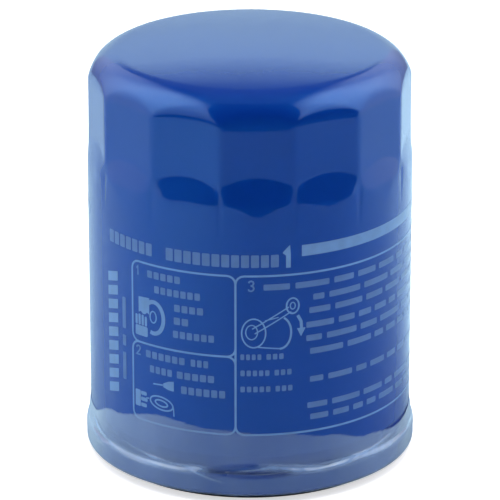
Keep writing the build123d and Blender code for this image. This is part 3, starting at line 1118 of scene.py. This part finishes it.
def column_print():
    """A column of slanted stripes beside the panels, and a fine greeked line next to it."""
    mark = Print()
    left, right, rise, thick, pitch = -35.2, -31.7, 1.0, 2.0, 2.95
    for k in range(9):
        low = 17.4 + pitch * k
        places = [(left, low), ((left + right) / 2, low + rise / 2), (right, low + rise)]
        mark.strip(places, [(across, up + thick) for across, up in places])
    mark.make("print_stripes", light_ink)
    fine = Print()
    for low, high in ((21.7, 27.5), (28.9, 31.2), (32.6, 39.2)):
        fine.bar(-30.2, -29.2, low, high, 0.2)
    fine.make("print_side_line", soft_ink)


def wipe_picture():
    """Step 1: an open hand with a cloth wiping a round seat."""
    picture = Print()
    picture.oval(-21.6, 36.9, 2.35, 3.3, 0.85, start=-110, end=128)
    picture.oval(-21.7, 37.0, 0.75, 1.2, 0.28)
    cloth_edge = [(-25.4 + 0.55 * k, 37.3 + 0.3 * sin(1.9 * k)) for k in range(6)]
    picture.strip(cloth_edge, [(across, 40.6 + 0.08 * (across + 25)) for across, _ in cloth_edge])
    for k in range(4):
        left = -26.3 + 0.82 * k
        picture.bar(left, left + 0.58, 34.6, 36.6 + 0.35 * sin(pi * (k + 0.7) / 4), 0.25)
    picture.bar(-26.3, -23.1, 32.4, 34.5, 0.3)
    picture.make("print_wipe_picture", light_ink)


def oil_picture():
    """Step 2: a can of oil over a gasket ring, with a finger spreading it."""
    picture = Print()
    lower, upper = (22.7, 22.3, 22.2), (23.5, 24.1, 24.3)
    picture.strip(*[list(zip((-19.4, -18.2, -17.0), edge)) for edge in (lower, upper)])
    picture.line([(-21.8, 22.9), (-19.5, 23.1)], 0.3)
    picture.oval(-19.9, 19.1, 2.7, 1.35, 0.34, lean=-8)
    picture.oval(-19.9, 19.1, 1.45, 0.62, 0.34, lean=-8)
    picture.line([(-17.1, 18.6), (-17.0, 16.9)], 0.26)
    for k in range(3):
        picture.bar(-25.0, -23.5 + 0.2 * (k == 1), 17.3 + 1.25 * k, 18.1 + 1.25 * k, 0.25)
    picture.bar(-26.5, -25.1, 17.2, 20.7, 0.25)
    picture.line([(-23.6, 19.4), (-22.9, 19.5)], 0.3)
    picture.make("print_oil_picture", light_ink)


def wrench_picture():
    """Step 3: a filter on its side, a cap wrench on its end, and an arrow for the turn."""
    picture = Print()
    picture.oval(-0.7, 36.0, 2.35, 3.0, 0.3)
    picture.oval(-1.1, 36.2, 1.15, 1.5, 0.24)
    picture.line([(-1.0, 36.9), (6.2, 41.2)], 0.26)
    picture.line([(-0.5, 35.9), (6.7, 40.2)], 0.26)
    picture.oval(7.0, 41.4, 1.25, 1.6, 0.34)
    picture.oval(7.0, 41.4, 0.5, 0.7, 0.24)
    picture.line([(0.1, 33.1), (4.6, 32.6)], 0.26)
    picture.line([(1.5, 38.6), (4.2, 39.2)], 0.2)
    picture.oval(4.5, 35.9, 2.2, 3.3, 0.42, start=-92, end=70)
    picture.line([(8.0, 39.3), (8.7, 38.0), (8.8, 36.6)], 0.62)
    picture.strip([(7.9, 36.5), (8.7, 34.8), (9.6, 36.5)], [(7.9, 36.6), (8.7, 36.6), (9.6, 36.6)])
    picture.make("print_wrench_picture", light_ink)


title_print()
panel_print()
text_print()
column_print()
wipe_picture()
oil_picture()
wrench_picture()

# ------------ shrink film

# The film's distance from the can and its thickness.
FILM_GAP = 0.06
FILM_SHEET = 0.03
# Where the film leaves the wall, above the neck, as (across, height) points round the can.
LOOSE_TOP = [
    (-95, 12.5), (-75, 14.5), (-58, 10.5), (-44, 10.2), (-34, 13.5), (-20, 16.4), (-8, 15.3),
    (6, 14.3), (15, 12.8), (24, 10.4), (36, 8.8), (50, 9.6), (68, 13.4), (84, 11.4),
]
# The height of the ledge where it comes down on the seam.
LEDGE = [
    (-95, 6.9), (-70, 7.4), (-50, 6.8), (-34, 6.8), (-26, 6.5), (-17, 6.8), (-11, 7.3), (-7, 6.9),
    (-4, 7.6), (0, 8.4), (3, 8.1), (9, 7.2), (13, 6.9), (22, 7.3), (30, 6.9), (52, 6.7), (76, 7.5),
]
# How far the film turns down above that height, its bend there, and how far it draws in across the neck.
LEDGE_LIFT = 0.45
LEDGE_BEND = 2.0
NECK_DRAW = 0.5
FILM_WIDEST = SEAM_RADIUS + FILM_GAP + FILM_SHEET
FILM_BOTTOM = 1.44
# Above this height the film clings everywhere.
LOOSE_LIMIT = 18


def round_value(points, across):
    """A smooth value at a place round the can, from points that go once round it."""
    whole = 2 * pi * CAN_RADIUS
    ring = points + [(points[0][0] + whole, points[0][1])]
    across = (across - points[0][0]) % whole + points[0][0]
    for (start, low), (end, high) in zip(ring, ring[1:]):
        if across <= end:
            return low + (high - low) * soft_step(across, start, end)
    return ring[-1][1]


def make_creases():
    """Creases in the loose film, as (from, to, height, width): a few long ones, and short ones all round."""
    creases = [
        ((-14.6, 6.9), (-6.0, 4.2), 0.16, 0.22),
        ((-31.0, 8.6), (-17.0, 6.6), 0.12, 0.3),
        ((-45.0, 9.0), (-36.0, 6.6), 0.22, 0.45),
        ((-4.4, 6.9), (3.4, 7.8), 0.2, 0.16),
        ((5.0, 8.2), (14.0, 6.6), 0.12, 0.24),
        ((14.0, 6.3), (34.0, 8.2), 0.14, 0.28),
        ((-30.0, 6.2), (-13.0, 5.9), 0.1, 0.2),
        ((-24.0, 7.6), (-9.5, 6.7), 0.12, 0.2),
        ((8.0, 6.1), (24.0, 6.4), 0.1, 0.2),
        ((11.0, 7.4), (27.0, 7.2), 0.12, 0.22),
        ((-2.6, 6.2), (5.2, 6.6), 0.14, 0.14),
    ]
    rng = random.Random(7)
    for k in range(30):
        across = -100 + 204 * (k + rng.random()) / 30
        length, slope = rng.uniform(4, 13), rng.uniform(-0.16, 0.16)
        up = rng.uniform(4.6, 8.4)
        height = rng.uniform(0.03, 0.09) if -36 < across < 36 else rng.uniform(0.06, 0.16)
        creases.append(((across, up), (across + length, up + length * slope), height, rng.uniform(0.15, 0.4)))
    return creases


CREASES = make_creases()


def crease_height(across, up):
    """How far the creases lift the film here."""
    lift = 0.0
    whole = 2 * pi * CAN_RADIUS
    for (start, low), (end, high), height, width in CREASES:
        along = (across - start) % whole
        length = end - start
        if along > length:
            continue
        part = along / length
        away = (up - low - (high - low) * part) / width
        if abs(away) < 3:
            lift += height * sin(pi * part) ** 0.7 * exp(-away * away)
    return lift


def film_radius(across, up):
    """The film's outside radius low on the can: on the wall, across the neck, and over the seam."""
    wall = CAN_RADIUS + FILM_GAP + FILM_SHEET
    top, ledge = round_value(LOOSE_TOP, across), round_value(LEDGE, across) + LEDGE_LIFT
    neck = FILM_WIDEST - NECK_DRAW
    bridge = wall + (neck - wall) * max(0.0, min(1.0, (top - up) / (top - ledge)))
    drop = max(0.0, up - (ledge - LEDGE_BEND))
    turned = sqrt(max(0.0, LEDGE_BEND * LEDGE_BEND - drop * drop))
    over = FILM_WIDEST - LEDGE_BEND + turned if drop < LEDGE_BEND else 0.0
    base = -soft_min(-bridge, -over, 0.12)
    loose = 1 - soft_step(up, top - 1.5, top)
    # Gentle swells, fading out at the foot.
    swell = 0.035 * sin(across * 0.31 + 1.3 * sin(up * 0.5)) * sin(across * 0.083 + up * 0.6)
    return base + loose * (crease_height(across, up) + swell * soft_step(up, 2.5, 4.5))


def looseness_and_highlights(across, up):
    """How loose and milky the film looks: 0 where it clings, about 1 where it is loose, more for painted fold
    highlights.
    """
    top = round_value(LOOSE_TOP, across)
    loose = 1 - soft_step(up, top - 0.12, top + 0.12)
    # In a pocket at the middle of the front it lies closer.
    pocket = hypot((across + 0.5) / 8.5, (up - 6.9) / 1.8)
    sides = 1 + 0.8 * soft_step(abs(across), 8, 24)
    milky = (0.45 + 0.55 * soft_step(pocket, 0.75, 1.1)) * sides
    # Painted highlight on the creases: the higher a crease lifts the film, the shinier and milkier it is
    # made.
    painted_crease_highlight = 1.7 * min(crease_height(across, up) / 0.15, 1.2) ** 2
    # A painted highlight runs along a fold just under the ledge, to the left and the right of the pocket.
    from_fold = (up - round_value(LEDGE, across) + 0.5) / 0.6
    painted_fold_highlight = 2.8 * (soft_step(across, -38, -30) - soft_step(across, -13, -8))
    painted_fold_highlight += 3.4 * (soft_step(across, -1, 3) - soft_step(across, 28, 38))
    return loose * (milky + painted_crease_highlight + painted_fold_highlight * exp(-from_fold * from_fold))


def make_film():
    """The clear film: over the dome and the wall, loose across the neck, and tucked in under the seam."""
    half_sheet = FILM_SHEET / 2
    grow = FILM_GAP + half_sheet
    middle = CAN_RADIUS + grow
    wide = FILM_WIDEST - half_sheet
    tuck = filleted([(31.2, FILM_BOTTOM), (wide, FILM_BOTTOM), (wide, 2.4)], [0.9], step=18)
    # Rows of points: close together over the creases, and again over the flats.
    heights = [2.7, 3.1, 3.6, 4.0]
    heights += [4.0 + 0.17 * k for k in range(1, 31)]
    heights += [heights[-1] + 0.36 * k for k in range(1, 23)]
    low_rows = len(tuck) + len(heights)
    heights += [24, 32, 40, 48, FLAT_RAMP_BOTTOM - 4]
    step = (SHOULDER_START - heights[-1]) / 24
    heights += [heights[-1] + step * k for k in range(1, 24)]
    path = tuck + [Vector((middle, height)) for height in heights] + dome_path(grow, 14, 7)
    outside = shifted(path, -half_sheet)
    inside = shifted(path, half_sheet)
    outside[-1].x = inside[-1].x = 0.0
    outline = outside + inside[::-1]

    def shape(k, turn):
        outer = k < len(outside)
        row = k if outer else len(outline) - 1 - k
        radius, height = outline[k]
        if row < len(tuck):
            return radius, height
        if row < low_rows:
            across = (turn if turn < pi else turn - 2 * pi) * CAN_RADIUS
            return film_radius(across, height) - (0 if outer else FILM_SHEET), height
        offset = FILM_GAP + (FILM_SHEET if outer else 0)
        return pressed(radius, turn, height, offset), height

    film = lathe("film_sleeve", outline, FLAT_COUNT * 30, shape)
    # The loose mark: the film's looseness, plus painted highlights on its creases and folds.
    loose = film.data.attributes.new("loose", "FLOAT", "POINT")
    values = []
    for vertex in film.data.vertices:
        x, y, z = vertex.co / MM
        values.append(looseness_and_highlights(atan2(x, -y) * CAN_RADIUS, z) if z < LOOSE_LIMIT else 0.0)
    loose.data.foreach_set("value", values)
    return film


finish_piece(make_film(), film_look, HOUSING, "clear_film", "shrink_film")
